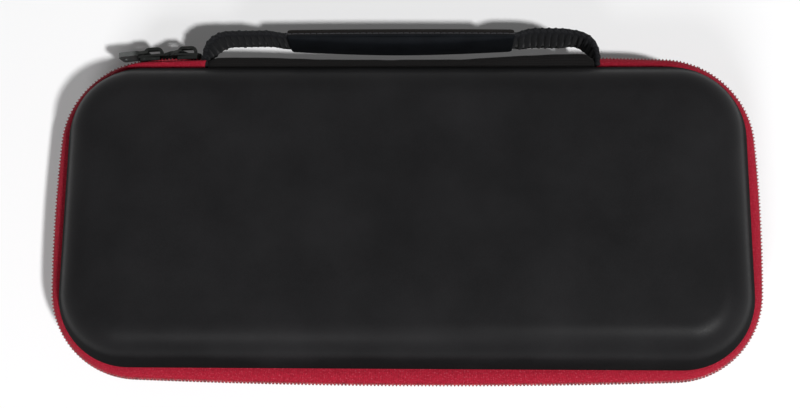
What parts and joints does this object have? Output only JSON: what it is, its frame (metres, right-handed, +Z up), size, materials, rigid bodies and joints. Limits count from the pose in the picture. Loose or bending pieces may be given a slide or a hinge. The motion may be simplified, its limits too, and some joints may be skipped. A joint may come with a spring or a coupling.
{
  "type": "portable game console case",
  "caption": "Zipped hard case for a portable game console, with a webbing carry handle, elastic straps, a card flap and a net pocket inside.",
  "frame": {"origin": "centre of the base's flat bottom face", "axes": "+Z up, +Y towards the hinge strip and the carry handle, +X along the long side to the right as seen from the front"},
  "size_m": [0.26, 0.1319, 0.042],
  "materials": {
    "shell": "matte moulded laminate with a fine leather-like grain",
    "zip_tape": "woven crimson zip tape",
    "zip_coil": "dark red nylon coil",
    "trim_cloth": "black woven cloth",
    "webbing": "ribbed black webbing",
    "grip": "padded black cloth with a stitched edge",
    "slider_metal": "black lacquered die-cast metal",
    "pull_metal": "grey lacquered metal",
    "elastic": "ribbed black elastic",
    "lining": "brushed grey lining",
    "net": "black knitted net"
  },
  "bodies": {
    "base": {"base_shell": "shell", "base_zip_tape": "zip_tape", "base_zip_coil": "zip_coil", "base_binding": "trim_cloth", "spine": "trim_cloth", "slider_a": "slider_metal", "strap_left_front": "elastic", "strap_left_back": "elastic", "strap_right_front": "elastic", "strap_right_back": "elastic", "card_flap": "lining", "card_pockets": "net"},
    "lid": {"lid_shell": "shell", "lid_zip_tape": "zip_tape", "lid_zip_coil": "zip_coil", "lid_binding": "trim_cloth", "pocket_border": "trim_cloth", "pocket_net": "net", "pocket_zip_tape": "trim_cloth", "pocket_zip_coil": "trim_cloth"},
    "handle": {"handle_webbing": "webbing", "handle_grip": "grip"},
    "zip_slider": {"slider_b": "slider_metal"},
    "zip_pull_a": {"pull_a": "pull_metal"},
    "zip_pull_b": {"pull_b": "pull_metal"},
    "pocket_slider": {"pocket_slider": "slider_metal"},
    "pocket_pull": {"pocket_pull": "pull_metal"}
  },
  "joints": [
    {"name": "lid_hinge", "type": "hinge", "parent": "base", "child": "lid", "pos_m": [0, 0.062, 0.021], "axis": [-1, 0, 0], "range_deg": [0, 120], "deforming": ["spine", "base_zip_tape", "lid_zip_tape", "base_zip_coil", "lid_zip_coil"]},
    {"name": "handle_swing", "type": "hinge", "parent": "base", "child": "handle", "pos_m": [0, 0.062, 0.021], "axis": [-1, 0, 0], "range_deg": [0, 60]},
    {"name": "zip_run", "type": "hinge", "parent": "base", "child": "zip_slider", "pos_m": [-0.09581, 0.02674, 0.021], "axis": [0, 0, 1], "range_deg": [0, 80], "deforming": ["base_zip_tape", "lid_zip_tape", "base_zip_coil", "lid_zip_coil"]},
    {"name": "pull_a_swing", "type": "hinge", "parent": "base", "child": "zip_pull_a", "pos_m": [-0.08426, 0.06318, 0.021], "axis": [0.5733, 0.0181, -0.8192], "range_deg": [0, 80]},
    {"name": "pull_b_swing", "type": "hinge", "parent": "zip_slider", "child": "zip_pull_b", "pos_m": [-0.09786, 0.06258, 0.021], "axis": [0.1389, 0.0089, -0.9903], "range_deg": [0, 70]},
    {"name": "pocket_zip_run", "type": "slide", "parent": "lid", "child": "pocket_slider", "axis": [1, 0, 0], "range_m": [0, 0.183], "deforming": ["pocket_zip_coil", "pocket_zip_tape"]},
    {"name": "pocket_pull_swing", "type": "hinge", "parent": "pocket_slider", "child": "pocket_pull", "pos_m": [-0.0904, -0.0311, 0.02867], "axis": [0, 1, 0], "range_deg": [0, 20]}
  ],
  "couplings": [
    {"joint": "handle_swing", "follows": "lid_hinge", "ratio": 0.5}
  ]
}
